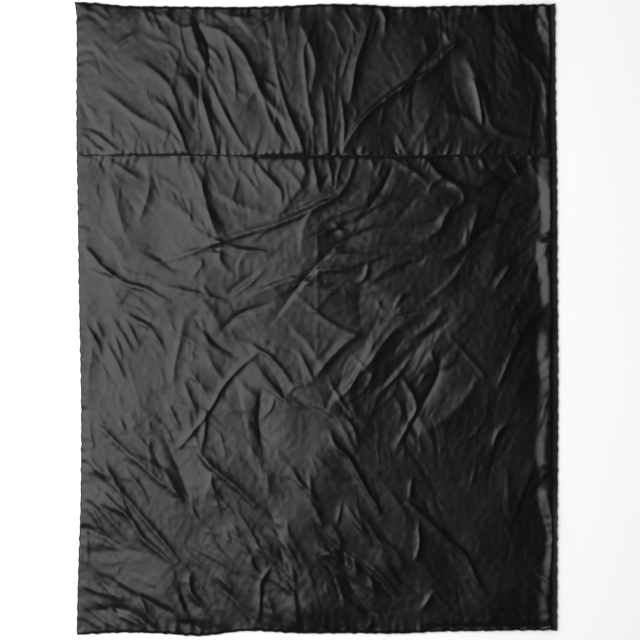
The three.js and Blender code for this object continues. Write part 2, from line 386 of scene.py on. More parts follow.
# Which way the small folds run, place by place: x, y, angle from the X axis in degrees
foldGrain = [
    (-0.60, 0.75, -38), (-0.30, 0.72, -66), (-0.02, 0.72, -88), (0.25, 0.72, 58), (0.55, 0.72, -60),
    (-0.60, 0.40, -62), (-0.25, 0.42, -70), (0.15, 0.40, 48), (0.55, 0.38, 30),
    (-0.60, 0.16, -28), (-0.15, 0.20, 18), (0.25, 0.16, 6), (0.60, 0.15, 48),
    (-0.62, -0.08, -62), (-0.20, -0.10, -38), (0.20, -0.12, 50), (0.55, -0.15, 58),
    (-0.58, -0.42, -46), (-0.18, -0.42, -50), (0.22, -0.42, -56), (0.58, -0.40, 70),
    (-0.55, -0.82, -28), (-0.15, -0.80, -52), (0.25, -0.80, -46), (0.60, -0.80, -50),
]
foldWork = {
    # small folds: how many, length, half width and height from and to
    "families": [(150, (0.08, 0.28), (0.012, 0.028), (0.0012, 0.0030)),
                 (360, (0.04, 0.18), (0.003, 0.006), (0.0004, 0.0012)),
                 (500, (0.02, 0.08), (0.003, 0.0045), (0.0003, 0.0008))],
    "listedWide": 0.65, "listedHigh": 0.50,  # shares of the listed folds' widths and heights
    "seed": 11,
    "smallLean": (0.3, 0.8), "grainSpread": 0.32, "grainReach": 0.17, "bend": 0.20,
    "calmRight": 0.45,  # the small folds are this much lower on the right half
    "sharpness": 1.15, "taper": 0.4,
    "drawnGrid": (373, 489),
    "spacings": (0.024, 0.012, 0.006, 0.0042), "steps": (700, 500, 300, 140),
    "spareCloth": 0.004,  # more cloth than the seams leave room for
    "slackReach": 0.04, "patch": 0.25,  # it fades out this near a seam, and varies over this length
    "foldCloth": 1.25,  # how much of a drawn fold's own length is there
    "lift": 0.003,  # pull back to the fill, above it
    "press": 0.012,  # push out of the fill, below its top
    "stiffness": (0.003, 0.003, 0.003, 0.002),  # on each net
    "pull": 0.45,  # share of an edge's error that each of its ends takes up in a step
    "firstShake": 0.0015, "laterShake": 0.0005,  # random height that starts the buckling
}


# Adds one fold: high * exp(-(distance / half width)^sharpness), tapered to both ends.
def addFold(height, x, y, points, halfWide, high, lean):
    line = curveThrough(points, 10)
    reach = 3.2 * halfWide * (1 + abs(lean))
    window = ((x > line[:, 0].min() - reach) & (x < line[:, 0].max() + reach)
              & (y > line[:, 1].min() - reach) & (y < line[:, 1].max() + reach))
    px, py = x[window], y[window]
    spans = np.diff(line, axis=0)
    lengths = np.linalg.norm(spans, axis=1)
    begin = np.concatenate([[0], np.cumsum(lengths)])
    nearest = np.full(px.shape, 9.0)
    side = np.zeros(px.shape)
    along = np.zeros(px.shape)
    for k in range(len(spans)):
        t = np.clip(((px - line[k, 0]) * spans[k, 0] + (py - line[k, 1]) * spans[k, 1])
                    / lengths[k] ** 2, 0, 1)
        rx, ry = px - line[k, 0] - t * spans[k, 0], py - line[k, 1] - t * spans[k, 1]
        away = np.hypot(rx, ry)
        closer = away < nearest
        nearest[closer] = away[closer]
        side[closer] = np.sign(rx * spans[k, 1] - ry * spans[k, 0])[closer]
        along[closer] = (begin[k] + t * lengths[k])[closer]
    taper = np.sin(math.pi * (0.03 + 0.94 * along / begin[-1])) ** foldWork["taper"]
    wide = halfWide * (1 - lean * side)
    height[window] += high * taper * np.exp(-(nearest / wide) ** foldWork["sharpness"])


# Direction of the small folds at one place: the nearby grain entries, by distance.
def grainAngle(x, y):
    at = np.array(foldGrain, float)
    near = np.exp(-((at[:, 0] - x) ** 2 + (at[:, 1] - y) ** 2) / foldWork["grainReach"] ** 2)
    double = 2 * np.radians(at[:, 2])
    return 0.5 * math.atan2((near * np.sin(double)).sum(), (near * np.cos(double)).sum())


# Height of all folds before the cloth settles: the listed ones and many small ones.
def drawnFolds(x, y):
    height = np.zeros_like(x)
    for line in (headFolds + mainFolds).strip().replace("\n\n", "\n").split("\n"):
        crest, shape = line.split("|")
        points = np.array([point.split(",") for point in crest.split()], float) / 1000
        halfWide, high, lean = map(float, (shape.split() + [0])[:3])
        addFold(height, x, y, points, foldWork["listedWide"] * halfWide / 1000,
                foldWork["listedHigh"] * high / 1000, lean)
    rng = np.random.default_rng(foldWork["seed"])
    for count, lengths, widths, heights in foldWork["families"]:
        for _ in range(count):
            cx, cy = rng.uniform(-halfWidth, halfWidth), rng.uniform(-halfLength, halfLength)
            angle = grainAngle(cx, cy) + rng.normal(0, foldWork["grainSpread"])
            long = rng.uniform(*lengths)
            step = np.array([math.cos(angle), math.sin(angle)]) * long / 2
            bend = rng.normal(0, foldWork["bend"])
            middle = (cx - step[1] * bend, cy + step[0] * bend)
            calm = 1 - foldWork["calmRight"] * smooth(cx / 0.5)
            high = rng.uniform(*heights) * rng.choice([1, 1, -1]) * calm
            points = [(cx - step[0], cy - step[1]), middle, (cx + step[0], cy + step[1])]
            if abs(cy - seamY) > 0.7 * abs(step[1]):  # the quilting holds the cloth down
                halfWide = rng.uniform(*widths)
                lean = rng.choice([-1, 1]) * rng.uniform(*foldWork["smallLean"])
                addFold(height, x, y, points, halfWide, high, lean)
    return height


# The cloth settling on its fill

# Points of a net of near-equal triangles over the quilt: odd rows are half a step over.
# A row lies exactly on the cross seam. Gives x, y and the row of the seam.
def threeWayNet(spacing):
    columns = round(2 * halfWidth / spacing) + 1
    step = 2 * halfWidth / (columns - 1)
    high = step * math.sqrt(3) / 2
    below = 2 * round((seamY + halfLength) / high / 2)
    above = 2 * round((halfLength - seamY) / high / 2)
    rows = np.concatenate([np.linspace(-halfLength, seamY, below + 1),
                           np.linspace(seamY, halfLength, above + 1)[1:]])
    x = np.tile(-halfWidth + step * np.arange(columns), (len(rows), 1))
    x[1::2] = np.minimum(x[1::2] + step / 2, halfWidth)
    y = np.repeat(rows[:, None], columns, 1)
    return x, y, below


# Neighbours in the net, in sets in which no point comes twice.
def netPairs(rows, columns):
    every = slice(None)
    pairs = []
    for first in (0, 1):
        count = (columns - first) // 2
        pairs.append(((every, slice(first, first + 2 * count, 2)),
                      (every, slice(first + 1, first + 2 * count, 2))))
    left, right = slice(0, columns - 1), slice(1, columns)
    for first, shifted in ((0, (right, left)), (1, (left, right))):
        lower, upper = slice(first, rows - 1, 2), slice(first + 1, rows, 2)
        pairs.append(((lower, every), (upper, every)))
        pairs.append(((lower, shifted[0]), (upper, shifted[1])))
    return pairs


# Sum of the six neighbours less six times the point itself.
def netLaplacian(values):
    total = -6 * values
    total[:, 1:] += values[:, :-1]
    total[:, :-1] += values[:, 1:]
    total[:, 0] += values[:, 0]
    total[:, -1] += values[:, -1]
    padded = np.concatenate([values[:1], values, values[-1:]])
    for other in (padded[2:], padded[:-2]):
        total += other
        total[0::2, 1:] += other[0::2, :-1]
        total[0::2, 0] += other[0::2, 0]
        total[1::2, :-1] += other[1::2, 1:]
        total[1::2, -1] += other[1::2, -1]
    return total


# Lets the cloth settle. Each edge of the net keeps the length that it has on the drawn
# folds, plus the spare cloth; the fill pulls or pushes it back to the target height; and
# the cloth's stiffness smooths it. Held points don't move.
def settle(points, x, y, slopes, spare, target, held, steps, scale, stiffness):
    slopeX, slopeY = slopes
    own = foldWork["foldCloth"]
    pairs = netPairs(*points.shape[:2])
    rest = []
    for a, b in pairs:
        dx, dy = x[b] - x[a], y[b] - y[a]
        rise = dx * (slopeX[a] + slopeX[b]) / 2 + dy * (slopeY[a] + slopeY[b]) / 2
        more = 1 + spare[a] + spare[b]
        rest.append(np.sqrt((dx * dx + dy * dy) * more + own * rise ** 2).astype(np.float32))
    keep = points[held].copy()
    lift, press = np.float32(foldWork["lift"] * scale), np.float32(foldWork["press"] * scale)
    for _ in range(steps):
        off = points[..., 2] - target
        points[..., 2] -= np.where(off > 0, lift, press) * off
        points -= np.float32(stiffness) * netLaplacian(netLaplacian(points))
        for (a, b), length in zip(pairs, rest):
            apart = points[b] - points[a]
            now = np.sqrt(np.einsum("ijk,ijk->ij", apart, apart))
            apart *= (foldWork["pull"] * (1 - length / now))[..., None]
            points[a] += apart
            points[b] -= apart
        points[held] = keep
    return points


# The net read at columns x and rows y of a plain grid, by Catmull-Rom curves.
def netToGrid(points, rowPlaces, x, y):
    columns = points.shape[1]
    across = (x + halfWidth) / (2 * halfWidth) * (columns - 1)
    rows = np.empty((points.shape[0], len(x), points.shape[2]), points.dtype)
    rows[0::2] = catmull(points[0::2], across, 1)
    rows[1::2] = catmull(points[1::2], np.clip(across - 0.5, 0, columns - 1), 1)
    rows[1:-1:2, 0] = (rows[0:-2:2, 0] + rows[2::2, 0]) / 2
    rows[1:-1:2, -1] = (rows[0:-2:2, -1] + rows[2::2, -1]) / 2
    return catmull(rows, np.interp(y, rowPlaces, np.arange(len(rowPlaces))), 0)


# The upper skin's shift from a flat sheet, as a net of points and the rows it is on.
def settledCloth():
    fineX, fineY = (np.linspace(-half, half, count) for half, count in
                    zip((halfWidth, halfLength), foldWork["drawnGrid"]))
    drawn = drawnFolds(*np.meshgrid(fineX, fineY))
    say("folds drawn")
    drawnSlopes = np.gradient(drawn, fineY, fineX)
    rng = np.random.default_rng(foldWork["seed"] + 1)
    spacings = foldWork["spacings"]
    before = None
    for spacing, steps, stiffness in zip(spacings, foldWork["steps"], foldWork["stiffness"]):
        x, y, seamRow = threeWayNet(spacing)
        fromEdge = np.minimum(np.minimum(halfWidth - abs(x), halfLength - abs(y)), abs(y - seamY))
        near = np.clip(fromEdge / foldWork["slackReach"], 0.1, 1)
        cell = foldWork["patch"]
        patchy = 1 + 0.5 * softNoise(x, y, cell, cell, 5)
        spare = foldWork["spareCloth"] * near * np.clip(patchy, 0.2, 2)
        target = readGrid(drawn, x, y).astype(np.float32)
        slopes = readGrid(drawnSlopes[1], x, y), readGrid(drawnSlopes[0], x, y)
        if before is None:
            height = target + foldWork["firstShake"] * rng.standard_normal(x.shape)
            points = np.stack([x, y, height], 2).astype(np.float32)
        else:
            points = readGrid(before, x, y).astype(np.float32)
            points[..., 2] += foldWork["laterShake"] * rng.standard_normal(x.shape)
        held = np.zeros(x.shape, bool)
        held[[0, -1, seamRow]] = True
        held[:, [0, -1]] = True
        points[held] = np.stack([x[held], y[held], 0 * x[held]], 1)
        scale = (spacing / spacings[-2]) ** 2
        points = settle(points, x, y, slopes, spare, target, held, steps, scale, stiffness)
        plainX = np.linspace(-halfWidth, halfWidth, x.shape[1])
        plainY = np.linspace(-halfLength, halfLength, x.shape[0])
        before = netToGrid(points, y[:, 0], plainX, plainY)
        say(f"cloth settled on a {spacing * 1000:.0f} mm net")
    points = points.astype(float)
    points[..., 0] -= x
    points[..., 1] -= y
    return points, y[:, 0]


# The shape of the lofted quilt
relief = {
    "rimBreaks": [(0.255, 0.012), (0.0, 0.042), (-0.495, 0.036)],  # packing creases cross the rim
    "rimWeak": (0.42, 0.90),  # stretch of the right rim with less loft
    "creasesAcross": [(0.255, -0.0003), (0.010, -0.0006), (-0.505, -0.0005)],
    "creasesAlong": [(0.003, 0.0006, -0.10, 0.34), (-0.365, -0.0003, -0.7, 0.2)],  # from y to y
    "creaseWidth": 0.007,
    "rimUneven": 0.30, "rimStray": 0.008, "breakDepth": 0.8, "weakDepth": 0.5,
    "calmEdge": 0.035,  # the folds die out this near the outline
    "crispFolds": 0.95, "blurTimes": 5,  # share of the drawn folds' sharpest part put back
    # the middle crease stands up as a low tent
    "tentHeight": 0.0042, "tentWidth": 0.30, "tentCrest": 0.025, "tentStray": (0.012, 0.006),
    "fadeIn": 0.09,  # the outline to the full height of the tent, the waves and the creases
    "lipShare": 0.28,  # share of the seam's depth that is steep
    "seamTent": 0.97,  # share of the tent left at the cross seam
    "waves": [(0.30, 0.0016), (0.13, 0.0012), (0.065, 0.0007)],  # cell, height
    "gatherPitch": 0.0085, "gatherHeight": 0.0010, "gatherReach": 0.016,
    "puckerHeight": 0.0013, "puckerReach": 0.022, "puckerCell": (0.05, 0.011),
    "closingHeight": 0.0098, "closingWidth": 0.006, "closingFade": 0.05,  # at the closing stitch
    "ripples": (0.0012, 0.0008),  # small waves of the sewn outline
    "outlineReach": 0.2,  # how far inside the quilt the outline's shape is felt
    # crinkles: cell across, cell along, turn, height, seed
    "crinkles": [(0.034, 0.012, 0.9, 0.00015, 21), (0.028, 0.010, -0.8, 0.00012, 22)],
}


# Height share of a quarter circle at a distance from its foot.
def quarterRound(distance, radius):
    return np.sqrt(1 - (1 - np.clip(distance / radius, 0, 1)) ** 2)


# Height share of a quarter sine wave, which starts less steeply.
def quarterSine(distance, radius):
    return np.sin(math.pi / 2 * np.clip(distance / radius, 0, 1))


# 1 at the top of the rim, 0 at its inner foot.
def rimShare(fromSide):
    return 1 - smooth((fromSide - quilt["rimRound"]) / (quilt["rimWidth"] - quilt["rimRound"]))


# 0 at the outline, 1 at full height: a fat round rim on the right, a tight edge on the left.
def sideRise(x):
    fromX = halfWidth - abs(x)
    return np.where(x > 0, quarterSine(fromX, quilt["rimRound"]), quarterRound(fromX, quilt["edgeRound"]))


# The low tent along the middle crease, with a soft crest that strays a little.
def middleTent(x, y):
    slow, quick = relief["tentStray"]
    fromMiddle = np.hypot(x + slow * np.sin(5 * y + 1) + quick * np.sin(17 * y), relief["tentCrest"])
    tent = np.clip(1 - fromMiddle / relief["tentWidth"], 0, 1) ** 1.5
    return relief["tentHeight"] * tent * smooth((halfLength - abs(y)) / relief["fadeIn"])


# Height of the cloth along the cross seam.
def seamTop(x):
    high = quilt["seamHeight"] + relief["seamTent"] * middleTent(x, seamY)
    return quilt["edgeHeight"] + (high - quilt["edgeHeight"]) * sideRise(x)


# Top of the quilt without its folds: a round rim, a flat middle, a pinch at the quilting
# and at the closing stitch, and the low relief of the fill and of the packing creases.
def plainTop(x, y):
    fromX, fromY = halfWidth - abs(x), halfLength - abs(y)
    rimHigh = quilt["rimLoft"] - quilt["loft"]
    uneven = 1 + relief["rimUneven"] * softNoise(x, y, 0.07, 0.12, 31)
    cuts = sum(np.exp(-((y - at) / wide) ** 4) for at, wide in relief["rimBreaks"])
    breaks = 1 - relief["breakDepth"] * cuts
    low, high = relief["rimWeak"]
    breaks = breaks * (1 - relief["weakDepth"] * smooth((y - low) / 0.05) * smooth((high - y) / 0.05))
    strayed = fromX + relief["rimStray"] * softNoise(x, y, 0.5, 0.07, 32) * smooth(fromX / 0.02)
    rim = rimShare(strayed) * np.where(x > 0, breaks, 0)
    rise = sideRise(x) * quarterRound(fromY, quilt["edgeRound"])
    inside = smooth(np.minimum(fromX, fromY) / relief["fadeIn"])
    body = quilt["loft"] + rimHigh * rim * uneven
    for number, (cell, high) in enumerate(relief["waves"]):
        body = body + high * softNoise(x, y, cell, cell, 41 + number) * (0.3 + 0.7 * inside)
    width = relief["creaseWidth"]
    for at, high in relief["creasesAcross"]:
        body = body + high * np.exp(-abs(y - at) / width) * inside
    for at, high, low, top in relief["creasesAlong"]:
        part = smooth((y - low) / 0.1) * smooth((top - y) / 0.1)
        body = body + high * part * np.exp(-abs(x - at) / width) * inside
    tent = middleTent(x, y)
    body = body + tent
    # gathers: cloth bunched up along the quilting, fading away from it
    fromSeam = abs(y - seamY)
    slant = x + 0.25 * (y - seamY) * softNoise(x, y, 0.05, 0.4, 51)
    gathers = softNoise(slant, y, relief["gatherPitch"], 0.05, 52)
    reach = relief["gatherReach"] * np.clip(1 + 0.6 * softNoise(x, 0 * y, 0.03, 1, 53), 0.3, 2.4)
    lip = relief["lipShare"]
    pinch = ((1 - lip) * quarterSine(fromSeam, quilt["seamRound"])
             + lip * quarterRound(fromSeam, quilt["seamLip"]))
    lowest = quilt["seamHeight"] + relief["seamTent"] * tent
    body = lowest + (body - lowest) * pinch
    fade = np.exp(-fromSeam / reach) * smooth(fromSeam / 0.003 + 0.25)
    body = body + relief["gatherHeight"] * gathers * fade
    # puckers square to the edge seam
    edgeReach = np.exp(-np.minimum(fromX, fromY) / relief["puckerReach"])
    inward, beside = relief["puckerCell"]
    sidePuckers = softNoise(x, y, inward, beside, 61)
    endPuckers = softNoise(x, y, beside, inward, 62)
    body = body + relief["puckerHeight"] * edgeReach * np.where(fromX < fromY, sidePuckers, endPuckers)
    # the closing stitch squeezes the foot edge
    along = np.minimum(x - closingLow.x, closingHigh.x - x)
    squeeze = smooth(1 + along / relief["closingFade"])
    squeeze = squeeze * np.exp(-((y - closingY) / relief["closingWidth"]) ** 2)
    body = body + (relief["closingHeight"] - body) * squeeze
    return quilt["edgeHeight"] + (body - quilt["edgeHeight"]) * rise


# Fine sharp creases: 1 less the size of smooth noise makes ridges where it crosses zero.
def crinkles(x, y):
    bentX = x + 0.006 * softNoise(x, y, 0.04, 0.04, 71)
    bentY = y + 0.006 * softNoise(x, y, 0.04, 0.04, 72)
    total = 0
    for across, along, turn, high, seed in relief["crinkles"]:
        ridges = np.clip(1 - 1.4 * abs(softNoise(bentX, bentY, across, along, seed, turn)), 0, 1)
        total = total + high * ridges ** 1.5
    patchy = np.clip(0.75 + 0.5 * softNoise(x, y, 0.12, 0.12, 73) - 0.35 * x / halfWidth, 0.15, 1.6)
    return total * patchy


# The values, each replaced over and over by a mean with its neighbours.
def blurred(values, times):
    for _ in range(times):
        for axis in (0, 1):
            values = (np.roll(values, 1, axis) + 2 * values + np.roll(values, -1, axis)) / 4
    return values


# Bends the straight outline to the sewn one, fading out inside it.
def moveToOutline(x, y):
    near = [np.clip(1 - d / relief["outlineReach"], 0, 1) ** 2 for d in
            (x + halfWidth, halfWidth - x, y + halfLength, halfLength - y)]
    long, short = relief["ripples"]
    rippleX, rippleY = (long * np.sin(150 * t) * np.sin(31 * t + 1)
                        + short * np.sin(247 * t + 1) * np.sin(43 * t) for t in (y, x))
    newX = x - near[0] * (wander("left", y) + rippleX) + near[1] * (wander("right", y) + rippleX)
    newY = y - near[2] * (wander("foot", x) + rippleY) + near[3] * (wander("head", x) + rippleY)
    return newX, newY


# Places from low to high, an even step apart, closing up on the round stretch at an end.
def stations(low, high, lowRound, highRound, step):
    ends = []
    for radius in (lowRound, highRound):
        count = max(3, round(radius * math.pi / 2 / step))
        ends.append(radius * (1 - np.cos(np.linspace(0, math.pi / 2, count + 1))))
    middle = np.linspace(low + lowRound, high - highRound,
                         round((high - low - lowRound - highRound) / step) + 1)
    return np.concatenate([low + ends[0][:-1], middle, (high - ends[1][:-1])[::-1]])


# Four-sided faces between the points of a grid, from the points' numbers.
def gridFaces(index):
    faces = np.stack([index[:-1, :-1], index[:-1, 1:], index[1:, 1:], index[1:, :-1]], -1)
    return faces.reshape(-1, 4)


# A mesh of four-sided faces over an array of points.
def gridMesh(name, points, up=True):
    rows, columns = points.shape[:2]
    faces = gridFaces(np.arange(rows * columns).reshape(rows, columns))
    return faceMesh(name, points.reshape(-1, 3), faces if up else faces[:, ::-1])


# A smooth mesh from arrays of points and of faces, with a cloth map in metres.
def faceMesh(name, points, faces):
    corners = faces.shape[1]
    mesh = bpy.data.meshes.new(name)
    mesh.vertices.add(len(points))
    mesh.vertices.foreach_set("co", np.ascontiguousarray(points, np.float32).ravel())
    mesh.loops.add(faces.size)
    mesh.loops.foreach_set("vertex_index", np.ascontiguousarray(faces, np.int32).ravel())
    mesh.polygons.add(len(faces))
    mesh.polygons.foreach_set("loop_start", np.arange(0, faces.size, corners, dtype=np.int32))
    mesh.polygons.foreach_set("loop_total", np.full(len(faces), corners, np.int32))
    mesh.update(calc_edges=True)
    mesh.validate()
    mesh.polygons.foreach_set("use_smooth", np.ones(len(faces), bool))
    cloth = mesh.uv_layers.new(name="cloth")
    flat = np.ascontiguousarray(points[np.asarray(faces).ravel(), :2], np.float32)
    cloth.data.foreach_set("uv", flat.ravel())
    thing = bpy.data.objects.new(name, mesh)
    bpy.context.scene.collection.objects.link(thing)
    return thing


# Adds the turned-in cloth, two more rows and columns on each side, moved in by the
# allowance. They lie at edgeZ, or beside the cross seam at the skin's height plus atSeam.
def turnedIn(x, y, z, edgeZ, atSeam, seamBelow):
    padX, padY, padZ = (np.pad(values, 2, "edge") for values in (x, y, z))
    inset = np.array([quilt["allowance"], quilt["fold"]])
    padX[:, :2] += inset
    padX[:, -2:] -= inset[::-1]
    padY[:2] += inset[:, None]
    padY[-2:] -= inset[::-1, None]
    padZ[:, :2] = padZ[:, -2:] = edgeZ
    outer, inner = (slice(-2, None), slice(0, 2)) if seamBelow else (slice(0, 2), slice(-2, None))
    padZ[outer] = edgeZ
    padZ[inner, 2:-2] += atSeam if seamBelow else atSeam[::-1]
    return np.stack([*moveToOutline(padX, padY), padZ], -1)


# One panel of the upper skin: plain top + settled folds + crinkles, with its edges
# turned in under itself.
def upperSkin(name, net, lowY, highY):
    points, rowPlaces = net
    columns = stations(-halfWidth, halfWidth, quilt["edgeRound"], quilt["rimRound"], quilt["columnStep"])
    seamBelow = abs(lowY - seamY) < 0.001
    rounds = (quilt["seamRows"], quilt["edgeRound"])
    rows = stations(lowY, highY, *(rounds if seamBelow else rounds[::-1]), quilt["rowStep"])
    shift = netToGrid(points, rowPlaces, columns, rows)
    x, y = np.meshgrid(columns, rows)
    fromEdge = np.minimum(halfWidth - abs(x), halfLength - abs(y))
    calm = (0.12 + 0.88 * smooth(fromEdge / relief["calmEdge"])) * smooth(abs(y - seamY) / 0.010 + 0.1)
    crisp = drawnFolds(x, y)
    crisp = crisp - blurred(crisp, relief["blurTimes"])
    z = plainTop(x, y) + calm * (shift[..., 2] + relief["crispFolds"] * crisp + crinkles(x, y))
    over = np.maximum(z - quilt["capFrom"], 0)
    z = z - over + quilt["capRoom"] * np.tanh(over / quilt["capRoom"])
    z = np.maximum(z, quilt["edgeHeight"] + 0.0002)
    x = x + shift[..., 0] * calm
    y = y + shift[..., 1] * calm
    tuck = -np.array(quilt["tuck"])[:, None]
    grid = turnedIn(x, y, z, quilt["edgeHeight"] + quilt["skinGap"], tuck, seamBelow)
    return gridMesh(name, grid), np.dstack([x, y, z])


# The lower skin
underside = {
    "step": 0.009, "round": 0.013, "creaseHeight": 0.0022, "ditch": 0.0019, "ditchWidth": 0.008,
    "closingWidth": 0.006, "closingFade": 0.02, "seamRows": 0.009,
}


# Flat on the ground, with a few creases that stand off it and a ditch at each stitch row.
def undersideHeight(x, y):
    crease = np.clip(1 - 2.2 * abs(softNoise(x, y, 0.16, 0.07, 81, 0.7)), 0, 1) ** 1.5
    second = np.clip(1 - 2.6 * abs(softNoise(x, y, 0.12, 0.06, 82, -0.6)), 0, 1) ** 1.5
    z = underside["creaseHeight"] * np.maximum(crease, 0.8 * second)
    ditch = underside["ditch"] * np.exp(-((y - seamY) / underside["ditchWidth"]) ** 2)
    along = np.minimum(x - closingLow.x, closingHigh.x - x)
    closing = smooth(1 + along / underside["closingFade"])
    closing = underside["ditch"] * closing * np.exp(-((y - closingY) / underside["closingWidth"]) ** 2)
    z = np.maximum(np.maximum(z, ditch), closing)
    rise = quarterRound(halfWidth - abs(x), underside["round"])
    rise = rise * quarterRound(halfLength - abs(y), underside["round"])
    return quilt["edgeHeight"] - 0.0002 + (z - quilt["edgeHeight"] + 0.0002) * rise


# One panel of the lower skin, with its edges turned in over itself.
def lowerSkin(name, lowY, highY):
    columns = stations(-halfWidth, halfWidth, underside["round"], underside["round"], underside["step"])
    seamBelow = abs(lowY - seamY) < 0.001
    rounds = (underside["seamRows"], underside["round"])
    rows = stations(lowY, highY, *(rounds if seamBelow else rounds[::-1]), underside["step"])
    x, y = np.meshgrid(columns, rows)
    z = undersideHeight(x, y)
    lift = np.full((2, 1), quilt["lift"])
    grid = turnedIn(x, y, z, quilt["edgeHeight"] - quilt["skinGap"], lift, seamBelow)
    return gridMesh(name, grid, up=False)


# The fill
fill = {"blocks": 4, "underSkin": 0.0012, "bottom": 0.0034, "thinnest": 0.001, "edge": 0.0125}


# A closed sheet of wadding under one upper panel: its top is the lowest skin height of
# each small block less a gap, its sides lie inside the turned-in cloth. The skin is given
# before it is bent to the sewn outline.
def fillSheet(name, skin):
    size = fill["blocks"]
    rows = (skin.shape[0] - 1) // size * size
    columns = (skin.shape[1] - 1) // size * size
    z = skin[:rows, :columns, 2].reshape(rows // size, size, columns // size, size).min((1, 3))
    padded = np.pad(z, 1, "edge")
    corner = np.minimum.reduce([padded[1:, 1:], padded[1:, :-1], padded[:-1, 1:], padded[:-1, :-1]])
    pick = [np.minimum(np.arange(n // size + 1) * size, skin.shape[k] - 1) for k, n in
            enumerate((rows, columns))]
    place = skin[np.ix_(*pick)][..., :2]
    low, high = place.min((0, 1)), place.max((0, 1))
    middle = (low + high) / 2
    place = middle + (place - middle) * (1 - 2 * fill["edge"] / (high - low))
    place = np.dstack(moveToOutline(*np.moveaxis(place, 2, 0)))
    top = np.dstack([place, np.maximum(corner - fill["underSkin"], fill["bottom"] + fill["thinnest"])])
    flat = np.dstack([place, np.full(corner.shape, fill["bottom"])])
    return closedSlab(name, top, flat)


# Two grids of the same size, joined round their border.
def closedSlab(name, top, bottom):
    rows, columns = top.shape[:2]
    upper = np.arange(rows * columns).reshape(rows, columns)
    lower = upper + rows * columns
    faces = [gridFaces(upper), gridFaces(lower)[:, ::-1]]
    ringUp = np.concatenate([upper[0, :-1], upper[:-1, -1], upper[-1, :0:-1], upper[:0:-1, 0]])
    ringLow = ringUp + rows * columns
    faces.append(np.stack([ringLow, np.roll(ringLow, -1), np.roll(ringUp, -1), ringUp], -1))
    points = np.concatenate([top.reshape(-1, 3), bottom.reshape(-1, 3)])
    return faceMesh(name, points, np.concatenate(faces))


# The threads
stitch = {
    "pitch": 0.0052, "gap": 0.0012, "radius": 0.00048, "arch": 0.0004,
    "closingPitch": 0.6, "closingRadius": 0.8,  # shares of the two sizes above
    "innerPitch": 0.0040, "innerRadius": 0.0003, "innerArch": 0.0001,
    "fromSide": 0.004, "innerFromSide": 0.003,  # a row's end to the straight outline
    "proud": 0.0004, "closingProud": 0.0002,  # the needle thread over the cloth
    "bobbinHeight": 0.0014,
    "joinApart": 0.0014, "topJoinUnder": 0.0022, "undersideJoinHeight": 0.0036,
    "edgeInset": 0.0036, "edgeApart": 0.0007,
}


# One lock-stitch thread: a row of short round stitches along a path, each pulled down
# into the cloth at both ends.
def stitchRow(name, path, pitch, radius, arch, sides=6, rings=5):
    path = np.asarray(path, float)
    lengths = np.concatenate([[0], np.cumsum(np.linalg.norm(np.diff(path, axis=0), axis=1))])
    count = max(2, round(lengths[-1] / pitch))
    pitch = lengths[-1] / count
    share = np.linspace(0, 1, rings)
    at = (np.arange(count)[:, None] + share) * pitch
    at = at + (0.5 - share) * stitch["gap"] * pitch / stitch["pitch"]
    line = np.stack([np.interp(at, lengths, path[:, k]) for k in range(3)], -1)
    line[..., 2] += arch * np.sin(math.pi * share)
    ahead = np.gradient(line, axis=1)
    ahead /= np.linalg.norm(ahead, axis=2, keepdims=True)
    across = np.cross(ahead, [0, 0, 1.0])
    across /= np.linalg.norm(across, axis=2, keepdims=True)
    upward = np.cross(across, ahead)
    thick = radius * np.sqrt(np.clip(1 - (2 * share - 1) ** 4, 0.08, 1))
    angle = np.linspace(0, 2 * math.pi, sides, endpoint=False)
    ring = np.cos(angle)[:, None] * across[:, :, None] + np.sin(angle)[:, None] * upward[:, :, None]
    points = line[:, :, None] + ring * thick[:, None, None]
    one = np.arange(rings * sides).reshape(rings, sides)
    nextSide = np.roll(one, -1, 1)
    quads = np.stack([one[:-1], one[1:], nextSide[1:], nextSide[:-1]], -1).reshape(-1, 4)
    first, last = one[0], one[-1]
    caps = np.stack([first[[0, 1, 2, 3]], first[[3, 4, 5, 0]], last[[3, 2, 1, 0]], last[[0, 5, 4, 3]]])
    quads = np.concatenate([quads, caps])
    faces = (quads[None] + (np.arange(count) * rings * sides)[:, None, None]).reshape(-1, 4)
    return faceMesh(name, points.reshape(-1, 3), faces)


# A line across the quilt at y, bent with the outline; its height is a number or a function of x.
def straightPath(lowX, highX, y, z):
    x = np.linspace(lowX, highX, 400)
    newX, newY = moveToOutline(x, np.full(x.shape, y))
    return np.stack([newX, newY, z(x) if callable(z) else np.full(x.shape, z)], -1)


# A closed line round the quilt, this far inside the outline.
def outlinePath(inset, z):
    wide, long = halfWidth - inset, halfLength - inset
    side = np.linspace(-1, 1, 140)
    x = np.concatenate([side * wide, np.full(140, wide), -side * wide, np.full(141, -wide)])
    y = np.concatenate([np.full(140, -long), side * long, np.full(140, long), -side * long, [-long]])
    newX, newY = moveToOutline(x, y)
    return np.stack([newX, newY, np.full(x.shape, z)], -1)


# The materials

# Sets a node's inputs, each from a number or from another node's output.
def setInputs(made, inputs):
    for key, value in inputs.items():
        if isinstance(value, bpy.types.NodeSocket):
            made.id_data.links.new(value, made.inputs[key])
        else:
            made.inputs[key].default_value = value


# Adds a node to a tree, with its settings and its inputs.
def addNode(tree, kind, inputs=None, **settings):
    made = tree.nodes.new("ShaderNode" + kind)
    for key, value in settings.items():
        setattr(made, key, value)
    setInputs(made, inputs or {})
    return made


# A new material, its node tree, its shader, and the place on the piece as an output.
def startMaterial(name):
    material = bpy.data.materials.new(name)
    material.use_nodes = True
    tree = material.node_tree
    return material, tree, tree.nodes["Principled BSDF"], addNode(tree, "TexCoord").outputs["Object"]


